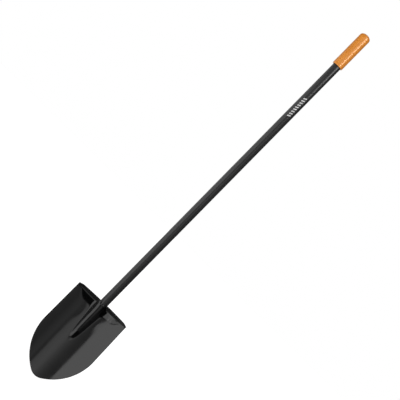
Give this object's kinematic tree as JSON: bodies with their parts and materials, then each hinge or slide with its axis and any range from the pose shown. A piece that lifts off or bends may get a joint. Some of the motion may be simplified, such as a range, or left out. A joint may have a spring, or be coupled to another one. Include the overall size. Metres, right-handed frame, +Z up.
{
  "type": "round point shovel",
  "caption": "Long-handled digging shovel with a dished round point blade, a foot step, a steel tube shaft and a moulded grip.",
  "frame": {"origin": "Bottom centre of the whole object's box: the ground under the upright shovel, level with the blade's tip.", "axes": "+Z up along the shaft towards the grip, -Y out of the blade's hollow face, X across the blade."},
  "size_m": [0.204, 0.0692, 1.46],
  "materials": {
    "blade_paint": "gloss black coating",
    "shaft_paint": "satin black powder coat",
    "grip_plastic": "satin moulded orange",
    "plug_plastic": "moulded black",
    "weld_paint": "coated weld bead"
  },
  "bodies": {
    "root": {"blade": "blade_paint", "shaft_tube": "shaft_paint", "grip_sleeve": "grip_plastic", "tube_plug": "plug_plastic", "weld_back_left": "weld_paint", "weld_back_right": "weld_paint", "weld_mouth": "weld_paint", "weld_toe": "weld_paint"}
  },
  "joints": []
}
